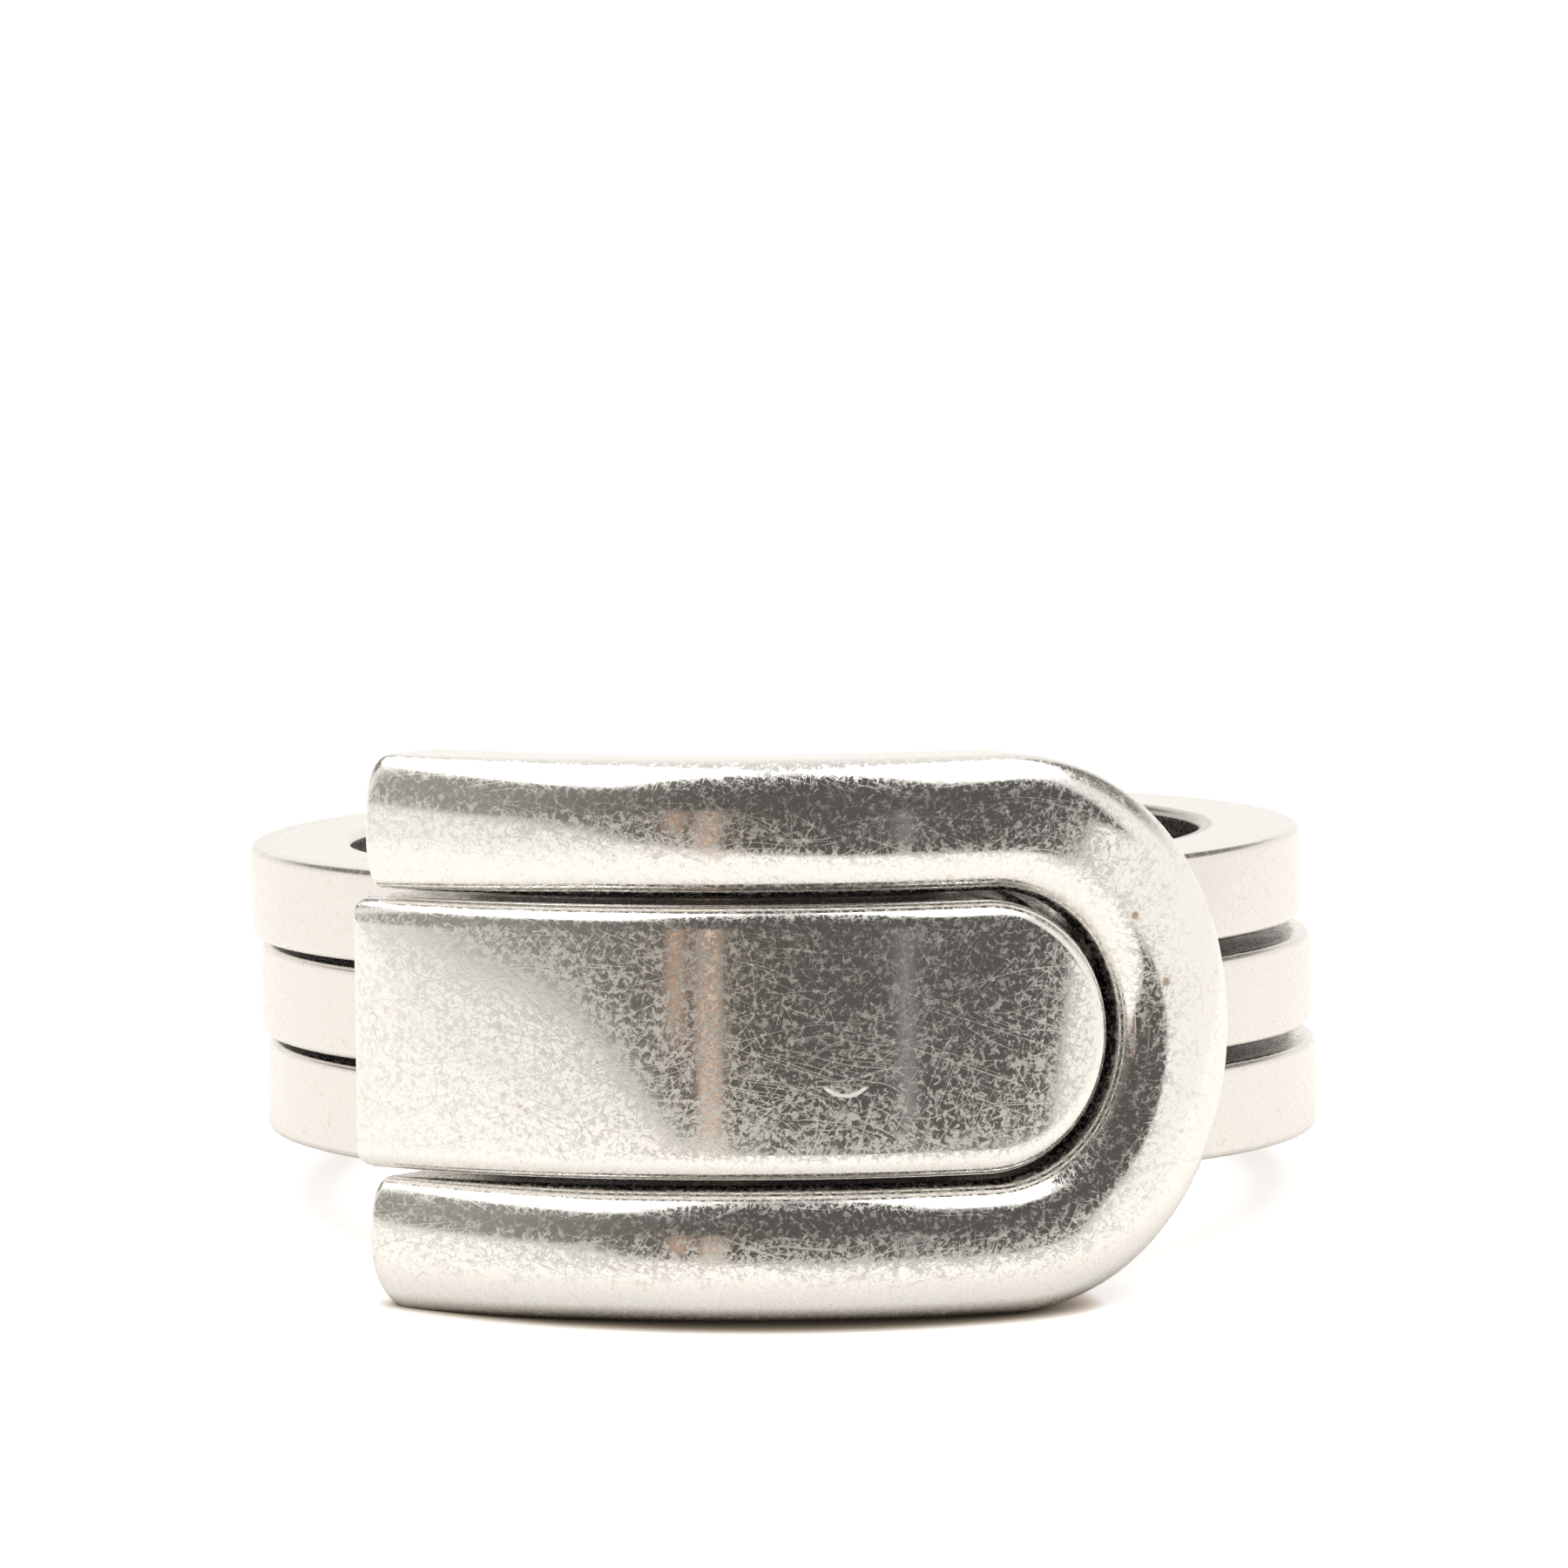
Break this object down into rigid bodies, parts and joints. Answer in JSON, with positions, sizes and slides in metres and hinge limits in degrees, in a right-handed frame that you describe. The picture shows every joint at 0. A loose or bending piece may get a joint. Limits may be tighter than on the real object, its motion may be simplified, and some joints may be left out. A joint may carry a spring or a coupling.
{
  "type": "finger puzzle ring",
  "caption": "Two-piece interlocking metal finger ring puzzle: a U-shaped stirrup on outer hoops holds a tongue plate on a turning middle hoop.",
  "frame": {"origin": "centre of the finger hole, midway up the stack of hoops", "axes": "+Z along the finger hole; the plates are at the front, -Y; the stirrup's mouth opens towards -X"},
  "size_m": [0.0217, 0.0237, 0.011],
  "materials": {
    "silver_hoops": "worn polished sterling silver with fine scratches",
    "silver_plates": "polished sterling silver with hairline swirls and light tarnish",
    "silver_solder": "dull silver solder, slightly warm"
  },
  "bodies": {
    "double_ring": {"top_band": "silver_hoops", "bottom_band": "silver_hoops", "stirrup": "silver_plates", "upper_solder": "silver_solder", "lower_solder": "silver_solder"},
    "tongue_ring": {"middle_band": "silver_hoops", "tongue": "silver_plates", "tongue_solder": "silver_solder"}
  },
  "joints": [
    {"name": "tongue_turn", "type": "hinge", "parent": "double_ring", "child": "tongue_ring", "pos_m": [0, 0, 0], "axis": [0, 0, 1], "range_deg": [-273.5, 0.8]}
  ]
}
